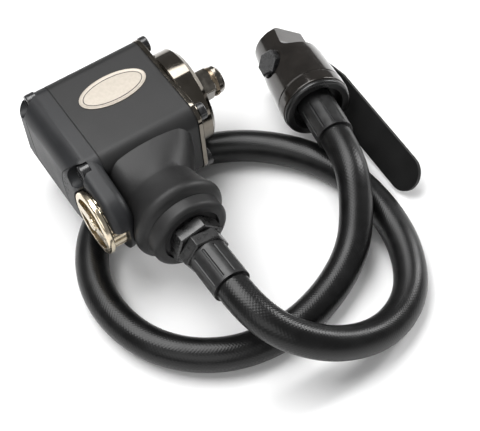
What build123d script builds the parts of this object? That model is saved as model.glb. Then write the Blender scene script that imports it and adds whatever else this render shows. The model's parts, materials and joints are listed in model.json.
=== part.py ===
from build123d import *
import os
from math import cos, pi, radians, sin, sqrt, tan

# Compact air impact wrench: square-drive head, whip hose and remote lever throttle valve.
# Millimetres. +X runs along the drive axis towards the socket, -Y towards the hose inlet, +Z is up.
# The origin is on the drive axis, on the front face of the nose ring.

os.makedirs("parts", exist_ok=True)

# ---------------------------------------------------------------- head, along the drive axis
body_rear = -78.0          # rear face of the cover
seam_x = -62.0             # joint between cover and housing
boot_front = -13.0         # front end of the housing
flange_front = -10.5       # front face of the nose flange
gasket = 0.6
body_half_y = 31.0
body_half_z = 22.0
corner_r = 8.5
cover_round_z = 10.0       # rounding of the cover's top and bottom rear edges
cover_round_y = 6.0        # rounding of its side rear edges
nose_r = 24.6
nose_bevel = 2.2

# air motor
cylinder_r = 18.4
motor_fit = 0.05           # radial fit of the motor stack in its bore
cylinder_len = 23.0
end_plate = 4.5
rotor_r = 12.4
rotor_offset = 1.2         # the cylinder bore stands this far above the rotor axis
stator_r = 14.0
blade_count = 6
blade_t = 1.8
blade_h = 6.0
shaft_r = 4.0
bearing_r = 8.0
running = 0.05             # radial running clearance
thread_fit = 0.05          # radial play of a screwed joint
side_gap = 0.3             # end clearance between parts that turn past each other

# hammer mechanism
hammer_bore_r = 17.6
case_spigot_r = 19.4
cage_r = 17.0
cage_rear = -27.6
cage_front = -14.4
cage_plate = 3.0
dog_r = 14.8
dog_bore_r = 9.4
pin_r = 1.8
pin_pitch = 12.0
lobe_r = 3.4
jaw_r = 7.4
neck_r = 7.6               # anvil where it passes the front cage plate

# square drive
drive_af = 12.7
drive_len = 16.5
journal_r = 9.0
ring_x = 10.9              # rear side of the socket ring's groove
ring_w = 2.0
tip_r = 7.3
drive_turn = 23.0          # degrees the square stands turned about the drive axis

# cap screws
screw_y = 26.0
screw_z = 17.0
screw_r = 2.5
screw_head_r = 4.25
screw_head_h = 5.0
rear_head_x = -73.2        # rear face of the rear screw heads
screw_reach = 14.0
front_head_h = 3.6

# neck, inlet and hose fittings, along -Y at inlet_x
inlet_x = -44.0
neck_inset = 0.2           # root of the neck, inside the ends of the housing
neck_sink = 6.3            # how deep its root section stands inside the side
neck_step = 2.5            # its root stands this far below the top face
neck_waist_y = 46.0
neck_waist_r = 18.5
bell_y = 60.0
bell_r = 22.5
neck_end = 66.0
collar_r = 19.0
collar_len = 7.0
nut_1_af = 22.0
nut_1_len = 6.5
nut_2_af = 20.0
nut_2_len = 6.5
ferrule_r = 9.25
ferrule_len = 20.0
air_r = 4.75

# reverse knob and its rotary valve, about an axis along X in the neck
knob_y = -41.0
knob_r = 16.0
knob_rear = -78.0
knob_rim = 3.4
knob_front = -67.9
barrel_r = 14.6
ear_r = 18.0
ear_round = 4.0
shroud_low = 6.0           # the shroud stops at this height beside the finger grip
shroud_rear = -74.2        # the shroud over the knob's barrel reaches back to here
barrel_gap = 0.5
valve_r = 6.2
valve_front = -34.0

# hose
hose_od = 16.0
flange_lip = 0.4           # the nose flange stands this far proud of the housing
hose_gap = 0.2
hose_z = -(body_half_z + flange_lip + hose_gap + hose_od / 2)

# throttle valve, in its own frame: x towards the air inlet, z away from the lever
throttle_x = 51.1
throttle_y = -34.0
throttle_z = -12.6
throttle_yaw = -101.2      # heading of the hose where it leaves the valve, degrees
throttle_pitch = 4.1
throttle_roll = 36.5       # how far the lever hangs below level, degrees
throttle_len = 48.5
throttle_r = 17.2
inlet_end_r = 13.7
wrench_flat = 9.5          # half the distance across the flats
lever_flat = -8.2          # flat under the inlet end that clears the lever's ears
collar_w = 7.0
cap_step = 2.3             # the end cap's plug is this much smaller in radius than the body
inlet_thread_r = 5.7
inlet_depth = 12.0
screen_seat = 1.5          # narrower pocket behind the thread, which holds the strainer
stem_x = 28.5
stem_tip = -18.3
stem_r = 2.0
pivot_x = 38.0
pivot_z = -13.5
pivot_pin_r = 2.0
lug_half_y = 4.5
lever_w = 18.4
lever_taper = 20.0         # distance from the hinge pin at which it reaches full width
lever_t = 2.0
lever_len = 92.1           # hinge pin to tip
lever_drop = 4.6           # hinge pin to the middle of the lever plate
lever_splay = 11.3         # degrees between lever and valve at rest
valve_ferrule_len = 22.8

pieces = {}


def bar_x(radius, x_from, x_to, y=0.0, z=0.0, mode=Mode.ADD):
    # round bar along X between two stations
    with Locations(((x_from + x_to) / 2, y, z)):
        Cylinder(radius, abs(x_to - x_from), rotation=(0, 90, 0), mode=mode)


def bar_y(radius, y_from, y_to, x=inlet_x, z=0.0, mode=Mode.ADD):
    # round bar along Y between two stations
    with Locations((x, (y_from + y_to) / 2, z)):
        Cylinder(radius, abs(y_to - y_from), rotation=(90, 0, 0), mode=mode)


def bar_z(radius, z_from, z_to, x=0.0, y=0.0, mode=Mode.ADD):
    # round bar along Z between two stations
    with Locations((x, y, (z_from + z_to) / 2)):
        Cylinder(radius, abs(z_to - z_from), mode=mode)


def head_outline(grow=0.0):
    # rounded cross-section of the head, for a sketch on a YZ plane
    RectangleRounded(2 * (body_half_y + grow), 2 * (body_half_z + grow), corner_r + grow)


def bell(grow, mode=Mode.ADD):
    # flared end of the neck, turned about the inlet axis
    top = -neck_waist_y + grow
    with BuildSketch(Plane.XY) as profile:
        with BuildLine():
            Line((inlet_x, top), (inlet_x + neck_waist_r + grow, top))
            Spline(
                (inlet_x + neck_waist_r + grow, top),
                (inlet_x + neck_waist_r + 1.2 + grow, top - 6),
                (inlet_x + bell_r + grow, -bell_y),
            )
            ThreePointArc(
                (inlet_x + bell_r + grow, -bell_y),
                (inlet_x + bell_r - 0.2 + grow, -bell_y - 2.6),
                (inlet_x + bell_r - 2.4 + grow, -neck_end + 1.4),
            )
            Line((inlet_x + bell_r - 2.4 + grow, -neck_end + 1.4), (inlet_x + bell_r - 4.2, -neck_end))
            Line((inlet_x + bell_r - 4.2, -neck_end), (inlet_x, -neck_end))
            Line((inlet_x, -neck_end), (inlet_x, top))
        make_face()
    revolve(profile.sketch, axis=Axis((inlet_x, 0, 0), (0, 1, 0)), mode=mode)


screw_seats = [(sy * screw_y, sz * screw_z) for sy in (1, -1) for sz in (1, -1)]

# ---------------------------------------------------------------- motor housing with its neck
plate_rear_x = seam_x + 0.1
stack_front = plate_rear_x + end_plate + cylinder_len + end_plate
with BuildPart() as housing:
    with BuildSketch(Plane.YZ.offset(seam_x)):
        head_outline()
    extrude(amount=boot_front - gasket - seam_x)
    # the neck grows out of the near side and narrows to a round waist
    neck_root = boot_front - gasket - seam_x - 2 * neck_inset
    with BuildSketch(Plane.XZ.offset(body_half_y - neck_sink)):
        with Locations(((seam_x + boot_front - gasket) / 2, 0)):
            RectangleRounded(neck_root, 2 * (body_half_z - neck_step), 8)
    with BuildSketch(Plane.XZ.offset(neck_waist_y)):
        with Locations((inlet_x, 0)):
            Circle(neck_waist_r)
    loft()
    # flared bell below the waist
    bell(0.0)
    # motor bore, hammer bore
    bar_x(cylinder_r + motor_fit, seam_x - 1, stack_front, mode=Mode.SUBTRACT)
    bar_x(case_spigot_r + motor_fit, stack_front, boot_front + 1, mode=Mode.SUBTRACT)
    # air passage, inlet thread and exhaust chamber in the neck
    bar_y(air_r, -neck_end - 1, -10, mode=Mode.SUBTRACT)
    bar_y(8.9 + thread_fit, -neck_end - 1, -neck_end + 10, mode=Mode.SUBTRACT)
    # reversing valve bore, open to the rear
    bar_x(valve_r + running, seam_x - 1, valve_front + 0.5, y=knob_y, mode=Mode.SUBTRACT)
    for sy, sz in screw_seats:
        bar_x(screw_r, seam_x - 1, seam_x + screw_reach, y=sy, z=sz, mode=Mode.SUBTRACT)
        bar_x(screw_r, boot_front - screw_reach, boot_front + 1, y=sy, z=sz, mode=Mode.SUBTRACT)
pieces["housing"] = housing

# ---------------------------------------------------------------- rear cover and its gasket
cover_front = seam_x - gasket
with BuildPart() as ear:
    with BuildSketch(Plane.YZ.offset(shroud_rear)):
        with Locations((knob_y, 0)):
            Circle(ear_r)
        with Locations(*[(corner_r - body_half_y, side * (body_half_z - corner_r)) for side in (1, -1)]):
            Circle(corner_r - 0.1)
        make_hull()
    extrude(amount=cover_front - shroud_rear)
    fillet(ear.faces().sort_by(Axis.X)[0].edges(), radius=ear_round)
    fillet(ear.faces().sort_by(Axis.X)[-1].edges(), radius=ear_round)

with BuildPart() as rear_cover:
    with BuildSketch(Plane.YZ.offset(body_rear)):
        head_outline()
    extrude(amount=cover_front - body_rear)
    # the rear edges are rounded, more at top and bottom than at the sides
    for plane, half, rounding in (
        (Plane.XZ, body_half_z, cover_round_z), (Plane.XY, body_half_y, cover_round_y),
    ):
        with BuildSketch(plane):
            with Locations(((body_rear + cover_front) / 2, 0)):
                side = Rectangle(cover_front - body_rear, 2 * half)
            fillet(side.vertices().group_by(Axis.X)[0], radius=rounding)
        extrude(amount=100, both=True, mode=Mode.INTERSECT)
    # ear that carries the reverse knob, with a shroud over the top of its barrel
    add(ear.part)
    bar_x(knob_r + barrel_gap, body_rear - 5, shroud_rear, y=knob_y, mode=Mode.SUBTRACT)
    bar_x(barrel_r + barrel_gap, body_rear - 5, knob_front + side_gap, y=knob_y, mode=Mode.SUBTRACT)
    with Locations(((body_rear + knob_front + side_gap) / 2, knob_y - ear_r, shroud_low - 2 * ear_r)):
        Box(knob_front + side_gap - body_rear, 2 * ear_r + 4, 4 * ear_r, mode=Mode.SUBTRACT)
    bell(0.3, Mode.SUBTRACT)
    bar_x(valve_r + running, body_rear, seam_x, y=knob_y, mode=Mode.SUBTRACT)
    # hollow behind the motor
    bar_x(15.0, cover_front - 11, cover_front + 1, mode=Mode.SUBTRACT)
    # corner pockets and holes for the cap screws
    for sy, sz in screw_seats:
        bar_x(
            screw_head_r + 0.8, body_rear - 5, rear_head_x + screw_head_h,
            y=sy, z=sz, mode=Mode.SUBTRACT,
        )
        bar_x(screw_r, body_rear, seam_x, y=sy, z=sz, mode=Mode.SUBTRACT)
    # blind hole for the knob's detent
    bar_x(1.65, knob_front, cover_front - 0.5, y=knob_y, z=11.0, mode=Mode.SUBTRACT)
pieces["rear_cover"] = rear_cover

with BuildPart() as rear_gasket:
    with BuildSketch(Plane.YZ.offset(cover_front)):
        head_outline(-0.3)
        Circle(cylinder_r + motor_fit, mode=Mode.SUBTRACT)
        with Locations(*screw_seats):
            Circle(screw_r, mode=Mode.SUBTRACT)
    extrude(amount=gasket)
pieces["rear_gasket"] = rear_gasket

# ---------------------------------------------------------------- hammer case: flange, spigot, nose
with BuildPart() as hammer_case:
    with BuildSketch(Plane.YZ.offset(boot_front)):
        head_outline(flange_lip)
    extrude(amount=flange_front - boot_front)
    fillet(hammer_case.faces().sort_by(Axis.X)[-1].edges(), radius=0.8)
    bar_x(nose_r, flange_front - 0.5, 0)
    chamfer(hammer_case.faces().sort_by(Axis.X)[-1].edges(), length=nose_bevel)
    bar_x(case_spigot_r, stack_front, boot_front)
    # shallow dish in the nose face
    bar_x(nose_r - 5.0, -0.8, 1, mode=Mode.SUBTRACT)
    bar_x(hammer_bore_r, stack_front - 1, -5.0, mode=Mode.SUBTRACT)
    bar_x(11.4, -6, 1, mode=Mode.SUBTRACT)
    for sy, sz in screw_seats:
        bar_x(screw_r, boot_front - 1, 0, y=sy, z=sz, mode=Mode.SUBTRACT)
        bar_x(
            screw_head_r + 0.4, flange_front, 1,
            y=sy, z=sz, mode=Mode.SUBTRACT,
        )
pieces["hammer_case"] = hammer_case

with BuildPart() as front_gasket:
    with BuildSketch(Plane.YZ.offset(boot_front - gasket)):
        head_outline(-0.3)
        Circle(case_spigot_r + motor_fit, mode=Mode.SUBTRACT)
        with Locations(*screw_seats):
            Circle(screw_r, mode=Mode.SUBTRACT)
    extrude(amount=gasket)
pieces["front_gasket"] = front_gasket

with BuildPart() as anvil_bushing:
    bar_x(11.4, -12.4, -0.9)
    bar_x(13.2, -12.4, -5.0)
    bar_x(journal_r + running, -14, 1, mode=Mode.SUBTRACT)
pieces["anvil_bushing"] = anvil_bushing


def cap_screw(head_outer, head_inner, shank_end):
    # socket head cap screw along X: the head's outer face first
    way = 1 if head_inner > head_outer else -1
    with BuildPart() as screw:
        bar_x(screw_head_r, head_outer, head_inner, y=0)
        chamfer(screw.edges().filter_by(GeomType.CIRCLE).group_by(Axis.X)[0 if way > 0 else -1], 0.5)
        bar_x(screw_r, head_inner, shank_end)
        with BuildSketch(Plane.YZ.offset(head_outer)):
            RegularPolygon(2.3, 6)
        extrude(amount=way * 2.6, mode=Mode.SUBTRACT)
    return screw


for count, (sy, sz) in enumerate(screw_seats, 1):
    rear = cap_screw(rear_head_x, rear_head_x + screw_head_h, seam_x + screw_reach - 1)
    rear.part = rear.part.moved(Location((0, sy, sz)))
    pieces[f"rear_screw_{count}"] = rear
    front = cap_screw(flange_front + front_head_h, flange_front, boot_front - screw_reach + 1)
    front.part = front.part.moved(Location((0, sy, sz)))
    pieces[f"front_screw_{count}"] = front

with BuildPart() as badge:
    with BuildSketch(Plane.XY.offset(body_half_z)):
        with Locations((-37.0, 6.0)):
            Ellipse(17.5, 9.0)
    extrude(amount=0.5)
pieces["badge"] = badge

# ---------------------------------------------------------------- air motor
rear_plate_front = plate_rear_x + end_plate
cylinder_front = rear_plate_front + cylinder_len
with BuildPart() as rear_end_plate:
    bar_x(cylinder_r, plate_rear_x, rear_plate_front)
    bar_x(bearing_r, plate_rear_x - 1, rear_plate_front - 1.2, mode=Mode.SUBTRACT)
    bar_x(shaft_r + 1, plate_rear_x - 1, rear_plate_front + 1, mode=Mode.SUBTRACT)
pieces["rear_end_plate"] = rear_end_plate

with BuildPart() as motor_cylinder:
    bar_x(cylinder_r, rear_plate_front, cylinder_front)
    bar_x(stator_r, rear_plate_front - 1, cylinder_front + 1, z=rotor_offset, mode=Mode.SUBTRACT)
    # inlet and exhaust ports through the near wall
    for port_x in (0.3, 0.7):
        with Locations((rear_plate_front + port_x * cylinder_len, -cylinder_r, 0)):
            Box(4, 16, 5, mode=Mode.SUBTRACT)
pieces["motor_cylinder"] = motor_cylinder

with BuildPart() as front_end_plate:
    bar_x(cylinder_r, cylinder_front, stack_front)
    bar_x(bearing_r, cylinder_front + 1.2, stack_front + 1, mode=Mode.SUBTRACT)
    bar_x(shaft_r + 1, cylinder_front - 1, stack_front + 1, mode=Mode.SUBTRACT)
pieces["front_end_plate"] = front_end_plate

for name, face, way in (("rear_bearing", plate_rear_x, 1), ("front_bearing", stack_front, -1)):
    with BuildPart() as bearing:
        bar_x(bearing_r, face, face + way * (end_plate - 1.2))
        bar_x(shaft_r + running, face - 10, face + 10, mode=Mode.SUBTRACT)
    pieces[name] = bearing

with BuildPart() as rotor:
    bar_x(rotor_r, rear_plate_front + side_gap, cylinder_front - side_gap)
    bar_x(shaft_r, plate_rear_x - 1.0, cage_rear + cage_plate - 0.4)
    slot_mid = rotor_r - blade_h / 2 + 0.5
    for turn in range(blade_count):
        with Locations(Rotation(turn * 360 / blade_count, 0, 0) * Location(
            ((rear_plate_front + cylinder_front) / 2, 0, slot_mid)
        )):
            Box(cylinder_len + 2, blade_t + 0.1, blade_h + 1, mode=Mode.SUBTRACT)
pieces["rotor"] = rotor

for turn in range(blade_count):
    with BuildPart() as blade:
        with Locations(Rotation(turn * 360 / blade_count, 0, 0) * Location(
            ((rear_plate_front + cylinder_front) / 2, 0, rotor_r - blade_h / 2)
        )):
            Box(cylinder_len - 2 * side_gap, blade_t, blade_h)
    pieces[f"rotor_blade_{turn + 1}"] = blade

# ---------------------------------------------------------------- hammer mechanism
dog_rear = cage_rear + cage_plate + side_gap
dog_front = cage_front - cage_plate - side_gap
# the cage is two plates tied together by the pins
for name, x_from, hub_r in (
    ("cage_rear_plate", cage_rear, shaft_r + 0.02), ("cage_front_plate", cage_front - cage_plate, journal_r + running),
):
    with BuildPart() as plate:
        bar_x(cage_r, x_from, x_from + cage_plate)
        bar_x(hub_r, x_from - 1, x_from + cage_plate + 1, mode=Mode.SUBTRACT)
        for side in (1, -1):
            bar_x(pin_r, x_from - 1, x_from + cage_plate + 1, z=side * pin_pitch, mode=Mode.SUBTRACT)
    pieces[name] = plate

for name, side in (("pivot_pin", 1), ("stop_pin", -1)):
    with BuildPart() as pin:
        bar_x(pin_r, cage_rear + 0.2, cage_front - 0.2, z=side * pin_pitch)
    pieces[name] = pin

with BuildPart() as hammer_dog:
    with BuildSketch(Plane.YZ.offset(dog_rear)):
        Circle(dog_r)
        with Locations((0, pin_pitch)):
            Circle(lobe_r)
        Circle(dog_bore_r, mode=Mode.SUBTRACT)
        with Locations((0, pin_pitch)):
            Circle(pin_r + running, mode=Mode.SUBTRACT)
        # open notch round the stop pin lets the dog rock
        with Locations((0, -pin_pitch + pin_r + 0.1 - 3)):
            Rectangle(2 * pin_r + 6.0, 6, mode=Mode.SUBTRACT)
    extrude(amount=dog_front - dog_rear)
pieces["hammer_dog"] = hammer_dog

with BuildPart() as anvil:
    bar_x(journal_r, cage_front + side_gap, 0.3)
    bar_x(neck_r, dog_front - 0.2, cage_front + side_gap)
    bar_x(jaw_r, dog_rear, dog_front - 0.2)
    # two flats leave the striking jaws
    for side in (1, -1):
        with Locations(((dog_rear + dog_front) / 2 - 0.5, side * jaw_r, 0)):
            Box(dog_front - dog_rear - 1, 5, 20, mode=Mode.SUBTRACT)
    with BuildSketch(Plane.YZ.offset(0.2)):
        Rectangle(drive_af, drive_af, rotation=drive_turn)
    extrude(amount=drive_len - 0.2)
    # turned end: corners knocked off, ring groove, rounded tip
    with BuildSketch(Plane.XY) as keep:
        with BuildLine():
            Polyline(
                (dog_rear - 1, 0), (dog_rear - 1, journal_r), (0.3, journal_r),
                (0.3, 0.96 * drive_af / sqrt(2)), (ring_x - 0.6, 0.96 * drive_af / sqrt(2)),
                (ring_x, tip_r), (ring_x, tip_r - 1.5), (ring_x + ring_w, tip_r - 1.5),
                (ring_x + ring_w, tip_r), (drive_len - 1.5, tip_r), (drive_len, tip_r - 1.5),
                (drive_len, 0), close=True,
            )
        make_face()
    revolve(axis=Axis.X, mode=Mode.INTERSECT)
pieces["anvil"] = anvil

with BuildPart() as socket_ring:
    bar_x(tip_r + 0.15, ring_x + 0.1, ring_x + ring_w - 0.1)
    bar_x(tip_r - 1.45, ring_x - 1, ring_x + ring_w + 1, mode=Mode.SUBTRACT)
    # the ring is split
    with Locations((ring_x + ring_w / 2, -tip_r, 0)):
        Box(ring_w + 1, 5, 1.2, mode=Mode.SUBTRACT)
pieces["socket_ring"] = socket_ring

# ---------------------------------------------------------------- reverse knob and rotary valve
with BuildPart() as reverse_knob:
    bar_x(knob_r, knob_rear, knob_rear + knob_rim, y=knob_y)
    fillet(reverse_knob.edges(), radius=1.2)
    bar_x(barrel_r, knob_rear + knob_rim - 0.5, knob_front, y=knob_y)
    # finger grooves round the barrel
    for turn in range(18):
        angle = 2 * pi * turn / 18
        bar_x(
            1.1, knob_rear + knob_rim, knob_front + 1,
            y=knob_y + barrel_r * cos(angle), z=barrel_r * sin(angle), mode=Mode.SUBTRACT,
        )
    # two pockets with a rib between them
    with BuildSketch(Plane.YZ.offset(knob_rear)):
        with Locations((knob_y, 0)):
            Circle(knob_r - 3.2)
            Rectangle(2 * knob_r, 6.5, mode=Mode.SUBTRACT)
    extrude(amount=7.0, mode=Mode.SUBTRACT)
    # the valve's end passes through the hub, under a screw with a sunk head
    bar_x(3.05, knob_rear - 1, knob_front + 1, y=knob_y, mode=Mode.SUBTRACT)
    bar_x(3.7, knob_rear - 1, knob_rear + 0.8, y=knob_y, mode=Mode.SUBTRACT)
    # dimples for the detent
    for turn in (-40, 0, 40):
        bar_x(
            1.4, knob_front - 0.8, knob_front + 1,
            y=knob_y - 11.0 * sin(radians(turn)), z=11.0 * cos(radians(turn)), mode=Mode.SUBTRACT,
        )
pieces["reverse_knob"] = reverse_knob

with BuildPart() as reverse_valve:
    bar_x(valve_r, knob_front, valve_front, y=knob_y)
    bar_x(3.0, knob_rear + 2.0, knob_front, y=knob_y)
    bar_y(air_r - 0.5, knob_y - 10, knob_y + 10, mode=Mode.SUBTRACT)
pieces["reverse_valve"] = reverse_valve

with BuildPart() as knob_screw:
    bar_x(3.6, knob_rear - 0.6, knob_rear + 0.8, y=knob_y)
    fillet(knob_screw.edges().group_by(Axis.X)[0], radius=0.6)
    bar_x(2.6, knob_rear + 0.8, knob_rear + 2.0, y=knob_y)
    with Locations((knob_rear - 0.6, knob_y, 0)):
        Box(1.0, 5.4, 0.9, mode=Mode.SUBTRACT)
pieces["knob_screw"] = knob_screw

with BuildPart() as detent_ball:
    with Locations((knob_front + 1.7, knob_y, 11.0)):
        Sphere(1.6)
pieces["detent_ball"] = detent_ball

with BuildPart() as detent_spring:
    bar_x(1.5, knob_front + 3.35, cover_front - 0.5, y=knob_y, z=11.0)
    bar_x(0.8, knob_front, cover_front, y=knob_y, z=11.0, mode=Mode.SUBTRACT)
pieces["detent_spring"] = detent_spring

# ---------------------------------------------------------------- exhaust collar and inlet fittings
collar_end = neck_end + collar_len
nut_1_end = collar_end + nut_1_len
nut_2_end = nut_1_end + nut_2_len
ferrule_end = nut_2_end + ferrule_len
with BuildPart() as exhaust_collar:
    bar_y(collar_r, -neck_end, -collar_end)
    fillet(exhaust_collar.faces().sort_by(Axis.Y)[0].edges(), radius=2.4)
    bar_y(14.0, -neck_end + 1, -collar_end - 1, mode=Mode.SUBTRACT)
pieces["exhaust_collar"] = exhaust_collar

with BuildPart() as exhaust_muffler:
    bar_y(14.0, -neck_end, -collar_end + 2.0)
    bar_y(10.5, -neck_end + 1, -collar_end, mode=Mode.SUBTRACT)
pieces["exhaust_muffler"] = exhaust_muffler

with BuildPart() as inlet_bushing:
    bar_y(8.9, -neck_end + 9.5, -neck_end)
    bar_y(10.5, -neck_end, -collar_end)
    with BuildSketch(Plane.XZ.offset(collar_end)):
        with Locations((inlet_x, 0)):
            RegularPolygon(nut_1_af / 2, 6, major_radius=False, rotation=12)
    extrude(amount=nut_1_len)
    chamfer(inlet_bushing.faces().sort_by(Axis.Y)[0].edges(), length=0.6)
    bar_y(air_r, -neck_end + 10, -nut_1_end - 1, mode=Mode.SUBTRACT)
pieces["inlet_bushing"] = inlet_bushing

with BuildPart() as swivel_nut:
    with BuildSketch(Plane.XZ.offset(nut_1_end)):
        with Locations((inlet_x, 0)):
            RegularPolygon(nut_2_af / 2, 6, major_radius=False, rotation=-8)
    extrude(amount=nut_2_len)
    chamfer(swivel_nut.faces().sort_by(Axis.Y)[0].edges(), length=0.6)
    chamfer(swivel_nut.faces().sort_by(Axis.Y)[-1].edges(), length=0.6)
    bar_y(air_r, -nut_1_end + 1, -nut_2_end - 1, mode=Mode.SUBTRACT)
pieces["swivel_nut"] = swivel_nut

with BuildPart() as inlet_ferrule:
    bar_y(ferrule_r, -nut_2_end, -ferrule_end)
    for turn in range(10):
        angle = 2 * pi * turn / 10
        bar_y(
            0.7, -nut_2_end - 1.5, -ferrule_end + 1.5,
            x=inlet_x + (ferrule_r + 0.2) * cos(angle), z=(ferrule_r + 0.2) * sin(angle),
            mode=Mode.SUBTRACT,
        )
    bar_y(air_r, -nut_2_end + 1, -ferrule_end - 1, mode=Mode.SUBTRACT)
pieces["inlet_ferrule"] = inlet_ferrule

# ---------------------------------------------------------------- throttle valve in its own frame
screen_x = throttle_len - inlet_depth - screen_seat
screen_r = inlet_thread_r - 0.5
with BuildPart() as valve_body:
    with BuildSketch(Plane.XY):
        with BuildLine():
            Polyline(
                (2, 0), (2, 9.0), (collar_w, 9.0), (collar_w, throttle_r - 0.6),
                (collar_w + 0.6, throttle_r), (26, throttle_r - 1.0),
                (36, throttle_r - 2.2), (throttle_len - 1.2, inlet_end_r), (throttle_len, inlet_end_r - 1.2),
                (throttle_len, 0), close=True,
            )
        make_face()
    revolve(axis=Axis.X)
    # flat below the inlet end, where the lever's ears straddle the hinge lug
    with Locations(((33 + throttle_len + 2) / 2, 0, lever_flat - 10)):
        Box(throttle_len + 2 - 33, 40, 20, mode=Mode.SUBTRACT)
    # wrench flats at the inlet, run out in a round
    for side in (1, -1):
        with Locations(((37 + throttle_len + 2) / 2, side * (wrench_flat + 5), 0)):
            Box(throttle_len + 2 - 37, 10, 40, mode=Mode.SUBTRACT)
        with Locations((37, side * (wrench_flat + 6), 0)):
            Cylinder(6.0, 40, mode=Mode.SUBTRACT)
    # hinge lug
    with Locations((pivot_x, 0, (pivot_z - 2) / 2)):
        Box(7, 2 * lug_half_y, -pivot_z - 2)
    with Locations((pivot_x, 0, pivot_z)):
        Cylinder(3.5, 2 * lug_half_y, rotation=(90, 0, 0))
        Cylinder(pivot_pin_r, 2 * lug_half_y + 1, rotation=(90, 0, 0), mode=Mode.SUBTRACT)
    # flat seat for the hexagon plug
    bar_z(7.4, 13.6, 30, x=stem_x, mode=Mode.SUBTRACT)
    # air inlet, poppet chamber, outlet and stem hole
    bar_x(inlet_thread_r, throttle_len - inlet_depth, throttle_len + 1, mode=Mode.SUBTRACT)
    bar_x(screen_r, screen_x, throttle_len, mode=Mode.SUBTRACT)
    bar_x(3.8, stem_x, throttle_len, z=1.2, mode=Mode.SUBTRACT)
    bar_z(5.2, -4.0, 20, x=stem_x, mode=Mode.SUBTRACT)
    bar_z(3.4, -9.0, 0, x=stem_x, mode=Mode.SUBTRACT)
    bar_x(2.8, 1, stem_x, z=-5.6, mode=Mode.SUBTRACT)
    bar_x(air_r, 1, 12, mode=Mode.SUBTRACT)
    bar_z(stem_r + running, -20, 0, x=stem_x, mode=Mode.SUBTRACT)
    bar_z(4.0, -20, -12.0, x=stem_x, mode=Mode.SUBTRACT)

with BuildPart() as stem_guide:
    bar_z(4.0, -15.6, -12.0, x=stem_x)
    bar_z(stem_r + running, -20, -10, x=stem_x, mode=Mode.SUBTRACT)

with BuildPart() as valve_collar:
    bar_x(throttle_r + 0.2, 0, collar_w)
    chamfer(valve_collar.edges().group_by(Axis.X)[-1], length=0.5)
    fillet(valve_collar.edges().group_by(Axis.X)[0], radius=0.8)
    bar_x(throttle_r - cap_step, -1, collar_w + 1, mode=Mode.SUBTRACT)

with BuildPart() as valve_end_cap:
    bar_x(throttle_r - cap_step, -1.0, collar_w)
    bar_x(throttle_r - 0.2, -2.4, 0)
    fillet(valve_end_cap.edges().group_by(Axis.X)[0], radius=1.4)
    bar_x(throttle_r - 4.2, -4.0, 3.0, mode=Mode.SUBTRACT)
    bar_x(ferrule_r, -4, collar_w + 1, mode=Mode.SUBTRACT)

with BuildPart() as valve_ferrule:
    bar_x(ferrule_r, 2.0, -valve_ferrule_len)
    for turn in range(10):
        angle = 2 * pi * turn / 10
        with Locations((
            -valve_ferrule_len / 2 - 1, (ferrule_r + 0.2) * cos(angle), (ferrule_r + 0.2) * sin(angle)
        )):
            Cylinder(0.7, valve_ferrule_len - 5, rotation=(0, 90, 0), mode=Mode.SUBTRACT)
    bar_x(air_r, 3.0, -valve_ferrule_len - 1, mode=Mode.SUBTRACT)

with BuildPart() as valve_plug:
    with BuildSketch(Plane.XY.offset(13.6)):
        with Locations((stem_x, 0)):
            RegularPolygon(6.0, 6, major_radius=False)
    extrude(amount=4.6)
    chamfer(valve_plug.faces().sort_by(Axis.Z)[-1].edges(), length=0.7)
    bar_z(5.2, 8.0, 13.6, x=stem_x)

with BuildPart() as valve_spring:
    bar_z(3.6, 1.6, 8.0, x=stem_x)
    bar_z(2.7, 0, 9, x=stem_x, mode=Mode.SUBTRACT)

with BuildPart() as throttle_poppet:
    bar_z(4.4, -4.0, -1.4, x=stem_x)
    bar_z(2.4, -1.4, 3.5, x=stem_x)
    bar_z(stem_r, stem_tip, -4.0, x=stem_x)
    fillet(throttle_poppet.edges().group_by(Axis.Z)[0], radius=0.8)

with BuildPart() as inlet_screen:
    bar_x(screen_r, screen_x, screen_x + 1.0)
    with Locations((screen_x + 0.5, 0, 0)):
        for ring_r, holes in ((2.0, 6), (4.0, 12)):
            for turn in range(holes):
                angle = 2 * pi * turn / holes
                with Locations((0, ring_r * cos(angle), ring_r * sin(angle))):
                    Cylinder(0.55, 2, rotation=(0, 90, 0), mode=Mode.SUBTRACT)

# the lever lies splayed from the valve at rest; it is drawn along -X and turned about its pin
lever_in = lever_drop - lever_t / 2
with BuildPart() as throttle_lever:
    with BuildSketch(Plane.XY.offset(-lever_drop - lever_t / 2)):
        with Locations(((-lever_taper - lever_len + lever_w / 2) / 2, 0)):
            Rectangle(lever_len - lever_taper - lever_w / 2, lever_w)
        # narrows towards the hinge
        root = lug_half_y + side_gap + 2.0
        with BuildLine():
            Polyline(
                (-lever_taper, lever_w / 2), (-8, root), (4.5, root), (4.5, -root), (-8, -root),
                (-lever_taper, -lever_w / 2), close=True,
            )
        make_face()
        with Locations((-lever_len + lever_w / 2, 0)):
            Circle(lever_w / 2)
    extrude(amount=lever_t)
    for side in (1, -1):
        # ears reach up to the hinge pin
        with BuildSketch(Plane.XZ.offset(side * (lug_half_y + side_gap + 1.0) - 1.0)):
            Circle(3.7)
            with Locations((0, -lever_in / 2 - 0.5)):
                Rectangle(7.4, lever_in + 1)
        extrude(amount=2.0)
    with Locations((0, 0, 0)):
        Cylinder(pivot_pin_r + running, 40, rotation=(90, 0, 0), mode=Mode.SUBTRACT)
lever_rest = Location((pivot_x, 0, pivot_z)) * Location((0, 0, 0), (0, -lever_splay, 0))
throttle_lever.part = throttle_lever.part.moved(lever_rest)

with BuildPart() as lever_pin:
    with Locations((pivot_x, 0, pivot_z)):
        Cylinder(pivot_pin_r, 2 * (lug_half_y + side_gap + 2.0) + 1.0, rotation=(90, 0, 0))

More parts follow.
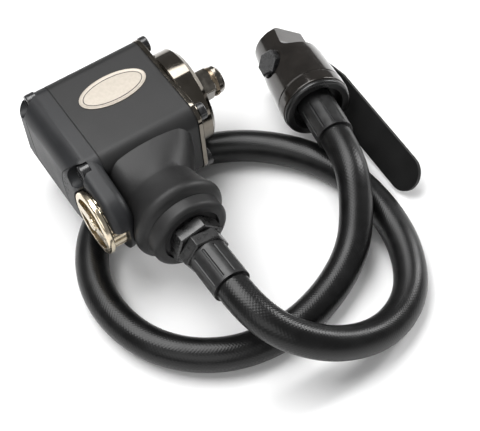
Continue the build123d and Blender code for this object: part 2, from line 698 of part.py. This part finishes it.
# place of the throttle valve beside the head
yaw = radians(throttle_yaw)
pitch = radians(throttle_pitch)
roll = radians(throttle_roll)
hose_way = Vector(cos(yaw) * cos(pitch), sin(yaw) * cos(pitch), sin(pitch))
level_way = Vector(-sin(yaw), cos(yaw), 0)
up_way = Vector(-cos(yaw) * sin(pitch), -sin(yaw) * sin(pitch), cos(pitch))
lever_way = level_way * cos(roll) - up_way * sin(roll)
throttle_at = Vector(throttle_x, throttle_y, throttle_z)
throttle_place = Plane(throttle_at, x_dir=hose_way * -1, z_dir=lever_way * -1).location
for name, piece in (
    ("valve_body", valve_body), ("stem_guide", stem_guide), ("valve_collar", valve_collar),
    ("valve_end_cap", valve_end_cap), ("valve_ferrule", valve_ferrule), ("valve_plug", valve_plug),
    ("valve_spring", valve_spring), ("throttle_poppet", throttle_poppet),
    ("inlet_screen", inlet_screen), ("throttle_lever", throttle_lever), ("lever_pin", lever_pin),
):
    piece.part = piece.part.moved(throttle_place)
    pieces[name] = piece

# ---------------------------------------------------------------- hose
hose_start = Vector(inlet_x, -ferrule_end, 0)
hose_end = throttle_at + hose_way * valve_ferrule_len
route = [
    hose_start,
    Vector(inlet_x, -ferrule_end - 17, 0),
    Vector(-34.5, -138.5, -8),
    Vector(-16, -149, -19),
    Vector(8, -150.5, -28.5),
    Vector(30, -140.5, hose_z),
    Vector(43.5, -119, hose_z),
    Vector(48.5, -94, hose_z),
    Vector(47, -66, hose_z),
    Vector(35, -40.5, hose_z),
    Vector(14.5, -19.5, hose_z),
    Vector(-12, -8, hose_z),
    Vector(-42, -7.5, hose_z),
    Vector(-69, -19, hose_z),
    Vector(-86, -42.5, hose_z),
    Vector(-90, -70.5, hose_z),
    Vector(-81, -98.5, hose_z),
    Vector(-58.5, -118.5, hose_z),
    Vector(-29.5, -124.5, hose_z),
    Vector(-2, -119, hose_z + 0.8),
    Vector(21, -107, -26),
    Vector(34, -91.5, -17.5),
    hose_end + hose_way * 18,
    hose_end,
]
bends = []
for before, here, after in zip(route, route[1:], route[2:]):
    turn = (here - before).get_angle(after - here)
    shorter = min((here - before).length, (after - here).length)
    bends.append(0.45 * shorter / tan(radians(turn / 2)))
print("hose bends", [round(bend, 1) for bend in bends])
with BuildPart() as hose:
    with BuildLine() as hose_path:
        FilletPolyline(*route, radius=bends)
    path_wire = hose_path.wires()[0]
    with BuildSketch(Plane(path_wire @ 0, z_dir=path_wire % 0)):
        Circle(hose_od / 2)
    sweep(path=path_wire)
pieces["hose"] = hose
print("hose length", round(path_wire.length, 1))
print("hose volume ratio", round(hose.part.volume / (pi * hose_od**2 / 4 * path_wire.length), 4))

for name, piece in pieces.items():
    piece.part.label = name
    export_step(piece.part, f"parts/{name}.step")
print(len(pieces), "pieces")
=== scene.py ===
import bmesh
import bpy
import json
import numpy as np
from math import cos, pi, radians, sin
from mathutils import Matrix, Vector

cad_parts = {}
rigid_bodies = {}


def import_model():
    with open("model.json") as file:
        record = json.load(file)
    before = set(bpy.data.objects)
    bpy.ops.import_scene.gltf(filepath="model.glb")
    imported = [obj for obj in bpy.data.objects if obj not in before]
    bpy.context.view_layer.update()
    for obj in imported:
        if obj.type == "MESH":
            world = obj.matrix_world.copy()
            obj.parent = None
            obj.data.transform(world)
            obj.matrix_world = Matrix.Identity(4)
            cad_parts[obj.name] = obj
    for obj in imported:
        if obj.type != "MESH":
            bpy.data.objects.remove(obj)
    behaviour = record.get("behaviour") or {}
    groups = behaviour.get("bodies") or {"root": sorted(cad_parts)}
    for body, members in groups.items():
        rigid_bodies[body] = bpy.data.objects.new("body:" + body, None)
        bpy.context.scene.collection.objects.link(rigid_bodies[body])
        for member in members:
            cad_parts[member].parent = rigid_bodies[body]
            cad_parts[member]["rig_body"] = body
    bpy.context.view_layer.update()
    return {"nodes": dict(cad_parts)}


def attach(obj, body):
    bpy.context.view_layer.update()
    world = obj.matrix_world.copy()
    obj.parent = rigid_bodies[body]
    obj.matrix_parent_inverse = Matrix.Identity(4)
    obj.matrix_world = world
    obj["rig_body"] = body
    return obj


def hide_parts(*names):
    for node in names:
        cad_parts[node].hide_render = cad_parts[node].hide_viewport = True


# Compact air impact wrench with its whip hose and throttle valve, dressed for a studio view.
# Metres. +X is the drive axis, -Y the hose inlet, +Z up.

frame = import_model()
nodes = frame["nodes"]
bodyOf = {name: nodes[name]["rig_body"] for name in nodes}
print("frame loaded:", len(nodes), "nodes")

# ---- camera
cameraLook = {
    "azimuth": -28.1,
    "elevation": 54.15,
    "roll": -6.02,
    "position": (-0.18204, -0.37864, 0.47458),
    "lens": 96.75,
}


def addCamera(look):
    a, e, r = (radians(look[k]) for k in ("azimuth", "elevation", "roll"))
    back = Vector((sin(a) * cos(e), -cos(a) * cos(e), sin(e)))
    level = Vector((cos(a), sin(a), 0))
    top = back.cross(level)
    right = level * cos(r) + top * sin(r)
    up = top * cos(r) - level * sin(r)
    data = bpy.data.cameras.new("studioCamera")
    data.sensor_width = 36
    data.lens = look["lens"]
    data.clip_start = 0.01
    camera = bpy.data.objects.new("studioCamera", data)
    bpy.context.scene.collection.objects.link(camera)
    camera.matrix_world = Matrix((
        (right.x, up.x, back.x, look["position"][0]),
        (right.y, up.y, back.y, look["position"][1]),
        (right.z, up.z, back.z, look["position"][2]),
        (0, 0, 0, 1),
    ))
    bpy.context.scene.camera = camera


addCamera(cameraLook)
print("camera placed")


# ---- surfaces
def addObject(name, mesh, body):
    thing = bpy.data.objects.new(name, mesh)
    bpy.context.scene.collection.objects.link(thing)
    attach(thing, body)
    return thing


def gridMesh(name, points, closedU=False, closedV=False, capEnds=False, uv=None):
    # points is an array of rows by columns by 3; a quad joins each point to the next one on both sides
    rows, cols = points.shape[:2]
    index = np.arange(rows * cols).reshape(rows, cols)
    i = np.arange(rows if closedU else rows - 1)
    j = np.arange(cols if closedV else cols - 1)
    ii, jj = np.meshgrid(i, j, indexing="ij")
    quads = np.stack([
        index[ii, jj], index[(ii + 1) % rows, jj],
        index[(ii + 1) % rows, (jj + 1) % cols], index[ii, (jj + 1) % cols],
    ], -1).reshape(-1, 4)
    faces = quads.tolist()
    if capEnds:
        faces.append(index[0].tolist())
        faces.append(index[-1][::-1].tolist())
    mesh = bpy.data.meshes.new(name)
    mesh.from_pydata(points.reshape(-1, 3).tolist(), [], faces)
    if uv is not None:
        # uv gives one more row and column than a closed grid has, so that the seam doesn't smear
        layer = mesh.uv_layers.new(name="pieceUV")
        corners = np.stack([
            uv[ii, jj], uv[ii + 1, jj], uv[ii + 1, jj + 1], uv[ii, jj + 1],
        ], -2).reshape(-1, 2)
        values = np.zeros((len(mesh.loops), 2), np.float32)
        values[:len(corners)] = corners
        layer.data.foreach_set("uv", values.ravel())
    mesh.polygons.foreach_set("use_smooth", [True] * len(mesh.polygons))
    mesh.update()
    return mesh


def outward(mesh):
    work = bmesh.new()
    work.from_mesh(mesh)
    bmesh.ops.remove_doubles(work, verts=work.verts, dist=1e-7)
    bmesh.ops.recalc_face_normals(work, faces=work.faces)
    work.to_mesh(mesh)
    work.free()
    mesh.update()
    return mesh


def easedCopy(node, ease, sharp=32, segments=2):
    # the node's own triangles with their doubles merged and flat ones joined; a bevel then eases its edges
    source = nodes[node].data
    place = np.zeros(len(source.vertices) * 3, np.float32)
    source.vertices.foreach_get("co", place)
    corner = np.zeros(len(source.loops), np.int32)
    source.loops.foreach_get("vertex_index", corner)
    microns = np.round(place.reshape(-1, 3) * 1e6).astype(np.int64)
    spots, which = np.unique(microns, axis=0, return_inverse=True)
    triangles = which.ravel()[corner].reshape(-1, 3)
    a, b, c = triangles.T
    whole = (a != b) & (b != c) & (a != c)
    mesh = bpy.data.meshes.new(node + "Eased")
    mesh.from_pydata((spots * 1e-6).tolist(), [], triangles[whole].tolist())
    work = bmesh.new()
    work.from_mesh(mesh)
    bmesh.ops.remove_doubles(work, verts=work.verts, dist=2e-6)
    bmesh.ops.dissolve_limit(work, angle_limit=radians(0.6), verts=work.verts, edges=work.edges)
    work.to_mesh(mesh)
    work.free()
    mesh.polygons.foreach_set("use_smooth", [True] * len(mesh.polygons))
    mesh.set_sharp_from_angle(angle=radians(sharp))
    copy = addObject(node + "Eased", mesh, bodyOf[node])
    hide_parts(node)
    if ease:
        bevel = copy.modifiers.new("easedEdges", "BEVEL")
        bevel.width = ease
        bevel.segments = segments
        bevel.limit_method = "ANGLE"
        bevel.angle_limit = radians(sharp)
        bevel.harden_normals = True
        bevel.use_clamp_overlap = True
        bevel.miter_outer = "MITER_ARC"
    return copy


# ---- finishes
def newFinish(name):
    material = bpy.data.materials.new(name)
    material.use_nodes = True
    tree = material.node_tree
    shader = tree.nodes["Principled BSDF"]
    return material, tree, shader


def link(tree, a, b):
    tree.links.new(a, b)


def objectPlace(tree):
    return tree.nodes.new("ShaderNodeTexCoord").outputs["Object"]


def noiseOf(tree, place, scale, detail=4.0, roughness=0.55):
    noise = tree.nodes.new("ShaderNodeTexNoise")
    noise.inputs["Scale"].default_value = scale
    noise.inputs["Detail"].default_value = detail
    noise.inputs["Roughness"].default_value = roughness
    link(tree, place, noise.inputs["Vector"])
    return noise.outputs["Fac"]


def rampOf(tree, value, low, high, lowOut, highOut):
    ramp = tree.nodes.new("ShaderNodeMapRange")
    ramp.inputs["From Min"].default_value = low
    ramp.inputs["From Max"].default_value = high
    ramp.inputs["To Min"].default_value = lowOut
    ramp.inputs["To Max"].default_value = highOut
    link(tree, value, ramp.inputs["Value"])
    return ramp.outputs["Result"]


def mixOf(tree, factor, first, second):
    mix = tree.nodes.new("ShaderNodeMix")
    mix.data_type = "RGBA"
    mix.inputs["A"].default_value = (*first, 1)
    mix.inputs["B"].default_value = (*second, 1)
    link(tree, factor, mix.inputs["Factor"])
    return mix.outputs["Result"]


def bumpOf(tree, height, strength, distance, below=None):
    bump = tree.nodes.new("ShaderNodeBump")
    bump.inputs["Strength"].default_value = strength
    bump.inputs["Distance"].default_value = distance
    link(tree, height, bump.inputs["Height"])
    if below is not None:
        link(tree, below, bump.inputs["Normal"])
    return bump.outputs["Normal"]


def twoTones(tree, shader, cloud, spec):
    # colour and roughness both follow one cloud of noise
    tone = mixOf(tree, rampOf(tree, cloud, 0.35, 0.65, 0, 1), spec["dark"], spec["light"])
    link(tree, tone, shader.inputs["Base Color"])
    low, high = spec["rough"]
    link(tree, rampOf(tree, cloud, 0.3, 0.7, low, high), shader.inputs["Roughness"])


def speckledFinish(name, spec):
    # two tones mixed by a coarse noise, roughness that wanders between two values, and a fine raised grain
    material, tree, shader = newFinish(name)
    place = objectPlace(tree)
    coarse = noiseOf(tree, place, spec.get("mottle", 90.0))
    fine = noiseOf(tree, place, spec.get("grain", 1500.0), 3.0)
    twoTones(tree, shader, coarse, spec)
    shader.inputs["Metallic"].default_value = spec.get("metal", 0.0)
    shader.inputs["Specular IOR Level"].default_value = spec.get("specular", 0.5)
    shader.inputs["Coat Weight"].default_value = spec.get("coat", 0.0)
    shader.inputs["Coat Roughness"].default_value = 0.1
    if spec.get("bump", 0):
        link(tree, bumpOf(tree, fine, spec["bump"], spec.get("depth", 0.0001)), shader.inputs["Normal"])
    return material


def turnedFinish(name, spec):
    # fine rings left by a lathe: a wave across one axis, broken up by noise
    material, tree, shader = newFinish(name)
    place = objectPlace(tree)
    wave = tree.nodes.new("ShaderNodeTexWave")
    wave.bands_direction = "X"
    wave.inputs["Scale"].default_value = 600.0
    wave.inputs["Distortion"].default_value = 1.5
    wave.inputs["Detail"].default_value = 2.0
    link(tree, place, wave.inputs["Vector"])
    cloud = noiseOf(tree, place, spec.get("mottle", 120.0))
    twoTones(tree, shader, cloud, spec)
    shader.inputs["Metallic"].default_value = spec.get("metal", 1.0)
    link(tree, bumpOf(tree, wave.outputs["Fac"], spec.get("bump", 0.15), 0.00003), shader.inputs["Normal"])
    return material


finishes = {
    "housingBlack": speckledFinish("housingBlack", {
        "dark": (0.0095, 0.0094, 0.0095), "light": (0.0135, 0.0133, 0.0135), "rough": (0.46, 0.56),
        "mottle": 60.0, "grain": 2200.0, "bump": 0.35, "depth": 0.00012, "specular": 0.42}),
    # painted reflection: the blue cast in both tones stands in for bluish light reflected off the rear
    # cover; the black itself is the cover's own
    "coverBlackBlueReflection": speckledFinish("coverBlackBlueReflection", {
        "dark": (0.0100, 0.0104, 0.0118), "light": (0.0140, 0.0148, 0.0165), "rough": (0.44, 0.54),
        "mottle": 60.0, "grain": 2200.0, "bump": 0.35, "depth": 0.00012, "specular": 0.42}),
    # painted shade: near-black standing in for the shade inside the rear face's grooves and along its
    # ridges
    "paintedGrooveShade": speckledFinish("paintedGrooveShade", {
        "dark": (0.003, 0.003, 0.003), "light": (0.006, 0.006, 0.006), "rough": (0.7, 0.85), "bump": 0.1}),
    "darkNickel": speckledFinish("darkNickel", {
        "dark": (0.150, 0.134, 0.112), "light": (0.195, 0.176, 0.150), "rough": (0.05, 0.12),
        "mottle": 140.0, "grain": 500.0, "bump": 0.05, "depth": 0.00005, "metal": 1.0}),
    "anvilNickel": speckledFinish("anvilNickel", {
        "dark": (0.18, 0.165, 0.145), "light": (0.26, 0.24, 0.21), "rough": (0.12, 0.24),
        "mottle": 260.0, "grain": 900.0, "bump": 0.12, "depth": 0.00006, "metal": 1.0}),
    "ringBronze": turnedFinish("ringBronze", {
        "dark": (0.26, 0.20, 0.14), "light": (0.42, 0.34, 0.25), "rough": (0.2, 0.34)}),
    "screwBlack": speckledFinish("screwBlack", {
        "dark": (0.010, 0.010, 0.011), "light": (0.020, 0.020, 0.021), "rough": (0.2, 0.34),
        "mottle": 400.0, "grain": 1800.0, "bump": 0.15, "depth": 0.00006, "specular": 0.7}),
    "champagnePlate": speckledFinish("champagnePlate", {
        "dark": (0.42, 0.378, 0.322), "light": (0.465, 0.42, 0.362), "rough": (0.42, 0.48),
        "mottle": 700.0, "grain": 2600.0, "bump": 0.06, "depth": 0.00003, "metal": 0.35}),
    "badgeLine": speckledFinish("badgeLine", {
        "dark": (0.03, 0.03, 0.031), "light": (0.045, 0.045, 0.046), "rough": (0.4, 0.5)}),
    "castNickel": speckledFinish("castNickel", {
        "dark": (0.70, 0.60, 0.44), "light": (0.86, 0.77, 0.61), "rough": (0.16, 0.28),
        "mottle": 240.0, "grain": 900.0, "bump": 0.3, "depth": 0.0001, "metal": 1.0}),
    "nutBlack": speckledFinish("nutBlack", {
        "dark": (0.008, 0.008, 0.008), "light": (0.016, 0.016, 0.016), "rough": (0.22, 0.36),
        "mottle": 300.0, "grain": 1500.0, "bump": 0.15, "depth": 0.00006, "specular": 0.65}),
    "ferruleBlack": speckledFinish("ferruleBlack", {
        "dark": (0.009, 0.009, 0.0093), "light": (0.017, 0.017, 0.0173), "rough": (0.32, 0.44),
        "mottle": 300.0, "grain": 1800.0, "bump": 0.2, "depth": 0.00006}),
    "valveGloss": speckledFinish("valveGloss", {
        "dark": (0.020, 0.017, 0.0145), "light": (0.034, 0.029, 0.025), "rough": (0.10, 0.20),
        "mottle": 90.0, "grain": 900.0, "bump": 0.06, "depth": 0.00006,
        "metal": 0.6, "specular": 0.6, "coat": 0.5}),
    "capBlack": speckledFinish("capBlack", {
        "dark": (0.006, 0.006, 0.006), "light": (0.012, 0.012, 0.012), "rough": (0.24, 0.36), "bump": 0.1}),
    "leverBlack": speckledFinish("leverBlack", {
        "dark": (0.0035, 0.0035, 0.0035), "light": (0.006, 0.006, 0.006), "rough": (0.5, 0.62),
        "grain": 1600.0, "bump": 0.12, "depth": 0.00005, "specular": 0.3}),
    "sealRubber": speckledFinish("sealRubber", {
        "dark": (0.006, 0.006, 0.006), "light": (0.012, 0.012, 0.012), "rough": (0.7, 0.85), "bump": 0.1}),
    "feltGrey": speckledFinish("feltGrey", {
        "dark": (0.02, 0.02, 0.02), "light": (0.05, 0.05, 0.05), "rough": (0.9, 1.0),
        "grain": 3000.0, "bump": 0.8}),
    "turnedSteel": turnedFinish("turnedSteel", {
        "dark": (0.42, 0.42, 0.42), "light": (0.56, 0.56, 0.56), "rough": (0.22, 0.34)}),
    "bladeResin": speckledFinish("bladeResin", {
        "dark": (0.16, 0.085, 0.04), "light": (0.24, 0.13, 0.06), "rough": (0.4, 0.5), "bump": 0.2}),
}
print("finishes ready:", len(finishes))


def dress(thing, finish):
    thing.data.materials.clear()
    thing.data.materials.append(finishes[finish])
    return thing


# ---- hose: a smooth line laid along its route
hoseLook = {
    "diameter": 0.016,
    "length": 0.585,
    "level": -0.0306,
    "valvePlace": (0.0511, -0.034, -0.0126),
    "valveHeading": -101.2,
    "valveDip": 4.1,
    "ferrule": 0.0228,
    "rings": 660,
    "sides": 40,
}


def hoseRoute(look):
    z = look["level"]
    h, p = radians(look["valveHeading"]), radians(look["valveDip"])
    way = Vector((cos(h) * cos(p), sin(h) * cos(p), sin(p)))
    end = Vector(look["valvePlace"]) + way * look["ferrule"]
    return [
        (-0.044, -0.106, 0), (-0.044, -0.123, 0), (-0.0345, -0.1385, -0.008), (-0.016, -0.149, -0.019),
        (0.008, -0.1505, -0.0285), (0.030, -0.1405, z), (0.0435, -0.119, z), (0.0485, -0.094, z),
        (0.047, -0.066, z), (0.035, -0.0405, z), (0.0145, -0.0195, z), (-0.012, -0.008, z),
        (-0.042, -0.0075, z), (-0.069, -0.019, z), (-0.086, -0.0425, z), (-0.090, -0.0705, z),
        (-0.081, -0.0985, z), (-0.0585, -0.1185, z), (-0.0295, -0.1245, z), (-0.002, -0.119, z + 0.0008),
        (0.021, -0.107, -0.026), (0.034, -0.0915, -0.0175), tuple(end + way * 0.018), tuple(end),
    ]


def hoseLine(look):
    # the route's points as the control points of one smooth spline
    curve = bpy.data.curves.new("hoseLine", "CURVE")
    curve.dimensions = "3D"
    spline = curve.splines.new("NURBS")
    route = hoseRoute(look)
    spline.points.add(len(route) - 1)
    spline.points.foreach_set("co", [c for point in route for c in (*point, 1)])
    spline.order_u = 3
    spline.use_endpoint_u = True
    spline.resolution_u = 24
    return curve


def tubeAlong(name, line, radius, rings, sides):
    # a circle carried along the line, set out at each ring in two directions square to the line
    step = np.linalg.norm(np.diff(line, axis=0), axis=1)
    run = np.concatenate([[0], np.cumsum(step)])
    at = np.linspace(0, run[-1], rings)
    centre = np.stack([np.interp(at, run, line[:, k]) for k in range(3)], 1)
    for _ in range(3):
        centre[1:-1] = (centre[:-2] + 2 * centre[1:-1] + centre[2:]) / 4
    ahead = np.gradient(centre, axis=0)
    ahead /= np.linalg.norm(ahead, axis=1, keepdims=True)
    side = np.cross(ahead, (0, 0, 1.0))
    side /= np.linalg.norm(side, axis=1, keepdims=True)
    over = np.cross(side, ahead)
    turn = np.linspace(0, 2 * pi, sides + 1)[:-1]
    across = np.cos(turn)[None, :, None] * side[:, None] + np.sin(turn)[None, :, None] * over[:, None]
    ring = centre[:, None] + radius * across
    # the texture map is in metres: along the hose and round it
    uv = np.stack(np.meshgrid(at, np.linspace(0, 2 * pi * radius, sides + 1), indexing="ij"), -1)
    return gridMesh(name, ring, closedV=True, capEnds=True, uv=uv), centre


def hoseFinish():
    # satin rubber with the faint crossed weave that its wrapping leaves, and a slightly dusty bloom
    material, tree, shader = newFinish("hoseRubber")
    chart = tree.nodes.new("ShaderNodeUVMap")
    chart.uv_map = "pieceUV"
    place = objectPlace(tree)
    weave = []
    for turn in (38, -38):
        aim = tree.nodes.new("ShaderNodeMapping")
        aim.inputs["Rotation"].default_value = (0, 0, radians(turn))
        link(tree, chart.outputs["UV"], aim.inputs["Vector"])
        wave = tree.nodes.new("ShaderNodeTexWave")
        wave.inputs["Scale"].default_value = 260.0
        wave.inputs["Distortion"].default_value = 0.6
        link(tree, aim.outputs["Vector"], wave.inputs["Vector"])
        weave.append(wave.outputs["Fac"])
    cross = tree.nodes.new("ShaderNodeMath")
    cross.operation = "ADD"
    link(tree, weave[0], cross.inputs[0])
    link(tree, weave[1], cross.inputs[1])
    cloud = noiseOf(tree, place, 130.0)
    fine = noiseOf(tree, place, 1800.0, 3.0)
    twoTones(tree, shader, cloud, {
        "dark": (0.0035, 0.0035, 0.0036), "light": (0.0065, 0.0065, 0.0067), "rough": (0.28, 0.36)})
    shader.inputs["Specular IOR Level"].default_value = 0.34
    below = bumpOf(tree, cross.outputs[0], 0.2, 0.00014)
    link(tree, bumpOf(tree, fine, 0.12, 0.00008, below), shader.inputs["Normal"])
    return material


def makeHose(look):
    curve = hoseLine(look)
    guide = bpy.data.objects.new("hoseGuide", curve)
    bpy.context.scene.collection.objects.link(guide)
    bpy.context.view_layer.update()
    flat = bpy.data.meshes.new_from_object(guide)
    line = np.zeros(len(flat.vertices) * 3)
    flat.vertices.foreach_get("co", line)
    line = line.reshape(-1, 3)
    bpy.data.objects.remove(guide)
    mesh, centre = tubeAlong("hoseTube", line, look["diameter"] / 2, look["rings"], look["sides"])
    hose = addObject("hoseTube", outward(mesh), "tool")
    hose.data.materials.append(hoseFinish())
    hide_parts("hose")
    return hose


# the ferrule is crimped on the hose's far end, so it goes with it
farFerrule = easedCopy("valve_ferrule", 0.0003)
dress(farFerrule, "ferruleBlack")
makeHose(hoseLook)
print("hose laid")

# ---- head
easing = {
    # node: (width of the eased edge, finish)
    "housing": (0.0005, "housingBlack"),
    "rear_cover": (0.0005, "coverBlackBlueReflection"),
    "hammer_case": (0.00025, "darkNickel"),
    "exhaust_collar": (0.0004, "housingBlack"),
    "inlet_bushing": (0.0003, "nutBlack"),
    "swivel_nut": (0.0003, "nutBlack"),
    "inlet_ferrule": (0.0003, "ferruleBlack"),
    "valve_body": (0.0003, "valveGloss"),
    "valve_collar": (0.0002, "valveGloss"),
    "valve_end_cap": (0.0003, "capBlack"),
    "valve_plug": (0.00025, "screwBlack"),
    "throttle_lever": (0.0004, "leverBlack"),
    "reverse_knob": (0.0003, "castNickel"),
    "anvil": (0.0002, "anvilNickel"),
    "socket_ring": (0.00015, "ringBronze"),
    "knob_screw": (0.0001, "castNickel"),
    "lever_pin": (0.0001, "screwBlack"),
}
for count in range(1, 5):
    easing[f"rear_screw_{count}"] = (0.0002, "screwBlack")
    easing[f"front_screw_{count}"] = (0.0002, "screwBlack")

for node, (ease, finish) in easing.items():
    dress(easedCopy(node, ease), finish)
print("edges eased:", len(easing))

inner = {
    "sealRubber": ["rear_gasket", "front_gasket"],
    "ringBronze": ["anvil_bushing", "stem_guide", "reverse_valve", "inlet_screen"],
    "feltGrey": ["exhaust_muffler"],
    "bladeResin": [f"rotor_blade_{count}" for count in range(1, 7)],
    "turnedSteel": ["rear_end_plate", "front_end_plate", "motor_cylinder", "rear_bearing", "front_bearing",
                    "rotor", "cage_rear_plate", "cage_front_plate", "hammer_dog", "pivot_pin", "stop_pin",
                    "detent_ball", "detent_spring", "valve_spring", "throttle_poppet"],
}
for finish, members in inner.items():
    for node in members:
        dress(nodes[node], finish)
print("inner pieces finished")

# ---- badge: a blank domed oval with a raised rim and one fine inlaid line
badgeLook = {
    "centre": (-0.037, 0.006),
    "half": (0.0175, 0.009),
    "base": 0.022,
    "rim": 0.00050,
    "dish": 0.00034,
}


def ovalRings(look, radii, heights, sides=128):
    # rings of one oval shrunk towards its middle, each at its own height
    turn = np.linspace(0, 2 * pi, sides + 1)[:-1]
    rows = []
    for shrink, height in zip(radii, heights):
        rows.append(np.stack([
            look["centre"][0] + (look["half"][0] - shrink) * np.cos(turn),
            look["centre"][1] + (look["half"][1] - shrink) * np.sin(turn),
            np.full(sides, look["base"] + height),
        ], 1))
    return np.array(rows)


def makeBadge(look):
    radii = [0, 0, 0.00010, 0.0006, 0.00085, 0.0011, 0.003, 0.006, 0.0085]
    rim, dish = look["rim"], look["dish"]
    heights = [0, rim * 0.8, rim, rim, dish + 0.00004, dish, dish + 0.00003, dish + 0.00006, dish + 0.00007]
    dome = gridMesh("badgePlate", ovalRings(look, radii, heights), closedV=True, capEnds=True)
    plate = addObject("badgePlate", outward(dome), "tool")
    dress(plate, "champagnePlate")
    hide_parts("badge")
    below, proud = dish - 0.0001, dish + 0.00006
    line = ovalRings(look, [0.0019, 0.0019, 0.0023, 0.0023], [below, proud, proud, below])
    ring = addObject("badgeLine", outward(gridMesh("badgeLine", line, closedU=True, closedV=True)), "tool")
    dress(ring, "badgeLine")


makeBadge(badgeLook)
print("badge made")

# ---- rear face: dial arc, marks and panel line, as thin strips on the cover painted dark as the shade of its grooves and ridges
rearLook = {
    "face": -0.078,
    "half": 0.022,
    "rounding": 0.010,
    "knob": (-0.041, 0.0),
    "arc": (0.0275, -22, 44, 0.0006),
    # distance from the knob's axis, angle in degrees, half length, width
    "marks": [(0.0212, 38, 0.0021, 0.0011), (0.0250, 30, 0.0008, 0.0005), (0.0250, 22, 0.0008, 0.0005),
              (0.0250, 12, 0.0008, 0.0005), (0.0250, 2, 0.0008, 0.0005), (0.0250, -8, 0.0008, 0.0005),
              (0.0225, 20, 0.0005, 0.0005), (0.0225, 4, 0.0005, 0.0005)],
    "panel": [(0.0195, 0.0130), (0.0175, -0.0095), (0.0160, -0.0112), (0.0010, -0.0112)],
    "panelWidth": 0.0007,
}


def onRearFace(look, y, z, proud):
    # the cover's rear face is flat, and turns over a quarter round at its top and bottom
    over = np.clip(np.abs(z) - (look["half"] - look["rounding"]), 0, look["rounding"])
    x = look["face"] + look["rounding"] - np.sqrt(look["rounding"] ** 2 - over ** 2)
    tilt = over / look["rounding"]
    lift = np.stack([-np.sqrt(1 - tilt ** 2), np.zeros_like(y), tilt * np.sign(z)], -1)
    return np.stack([x, y, z], -1) + proud * lift


def grooveShadeStrip(name, look, middle, width):
    # a strip of one width along a line drawn on the rear face, domed a little above it and painted dark as
    # the shade of a groove
    line = np.array(middle, float)
    step = np.linalg.norm(np.diff(line, axis=0), axis=1)
    run = np.concatenate([[0], np.cumsum(step)])
    at = np.linspace(0, run[-1], max(8, int(run[-1] / 0.0005)))
    y, z = (np.interp(at, run, line[:, k]) for k in range(2))
    along = np.stack([np.gradient(y), np.gradient(z)], 1)
    along /= np.linalg.norm(along, axis=1, keepdims=True)
    across = np.linspace(-1, 1, 5)
    yy = y[:, None] + across[None] * along[:, 1:2] * width / 2
    zz = z[:, None] - across[None] * along[:, 0:1] * width / 2
    rows = onRearFace(look, yy, zz, (0.00003 + 0.00005 * (1 - across ** 2))[None, :, None])
    under = onRearFace(look, yy[:, ::-1], zz[:, ::-1], -0.0001)
    strip = gridMesh(name, np.concatenate([rows, under], 1), closedV=True, capEnds=True)
    piece = addObject(name, outward(strip), "tool")
    dress(piece, "paintedGrooveShade")


def makeRearFace(look):
    reach, low, high, width = look["arc"]
    turn = np.radians(np.linspace(low, high, 40))
    y, z = look["knob"]
    grooveShadeStrip("dialArc", look, np.stack([y + reach * np.cos(turn), z + reach * np.sin(turn)], 1), width)
    for count, (away, angle, half, wide) in enumerate(look["marks"], 1):
        c, s = cos(radians(angle)), sin(radians(angle))
        ends = [(y + (away + k * half) * c, z + (away + k * half) * s) for k in (-1, 1)]
        grooveShadeStrip(f"dialMark{count}", look, ends, wide)
    grooveShadeStrip("panelLine", look, look["panel"], look["panelWidth"])


makeRearFace(rearLook)
print("rear face marked")

# ---- studio: pale floor, broad soft lights
studio = {
    "floor": hoseLook["level"] - hoseLook["diameter"] / 2 - 0.0003,
    "world": 0.2,
    # name: (place, aim, size, watts)
    "lights": {
        "softBoxTop": ((-0.15, 0.30, 1.05), (-0.02, -0.05, 0), (1.1, 0.7), 17),
        "softBoxSide": ((0.80, -0.05, 0.42), (0, -0.03, 0), (0.16, 0.5), 4.5),
        "softBoxNear": ((-0.75, -0.75, 0.75), (-0.03, -0.05, 0), (1.2, 0.8), 5),
    },
}


def areaLight(name, place, aim, size, power):
    data = bpy.data.lights.new(name, "AREA")
    data.shape = "RECTANGLE"
    data.size, data.size_y = size
    data.energy = power
    lamp = bpy.data.objects.new(name, data)
    bpy.context.scene.collection.objects.link(lamp)
    heading = (Vector(aim) - Vector(place)).to_track_quat("-Z", "Y").to_matrix().to_4x4()
    lamp.matrix_world = Matrix.Translation(place) @ heading


def addStudio(look):
    z = look["floor"]
    mesh = bpy.data.meshes.new("studioFloor")
    mesh.from_pydata([(-3, -3, z), (3, -3, z), (3, 3, z), (-3, 3, z)], [], [(0, 1, 2, 3)])
    floor = bpy.data.objects.new("studioFloor", mesh)
    bpy.context.scene.collection.objects.link(floor)
    material, tree, shader = newFinish("paleFloor")
    shader.inputs["Base Color"].default_value = (0.93, 0.93, 0.93, 1)
    shader.inputs["Roughness"].default_value = 0.8
    floor.data.materials.append(material)
    world = bpy.data.worlds.new("studioWorld")
    world.use_nodes = True
    world.node_tree.nodes["Background"].inputs["Color"].default_value = (1, 1, 1, 1)
    world.node_tree.nodes["Background"].inputs["Strength"].default_value = look["world"]
    bpy.context.scene.world = world
    for name, (place, aim, size, watts) in look["lights"].items():
        areaLight(name, place, aim, size, watts)
    bpy.context.scene.view_settings.view_transform = "Standard"


addStudio(studio)
print("studio lit")
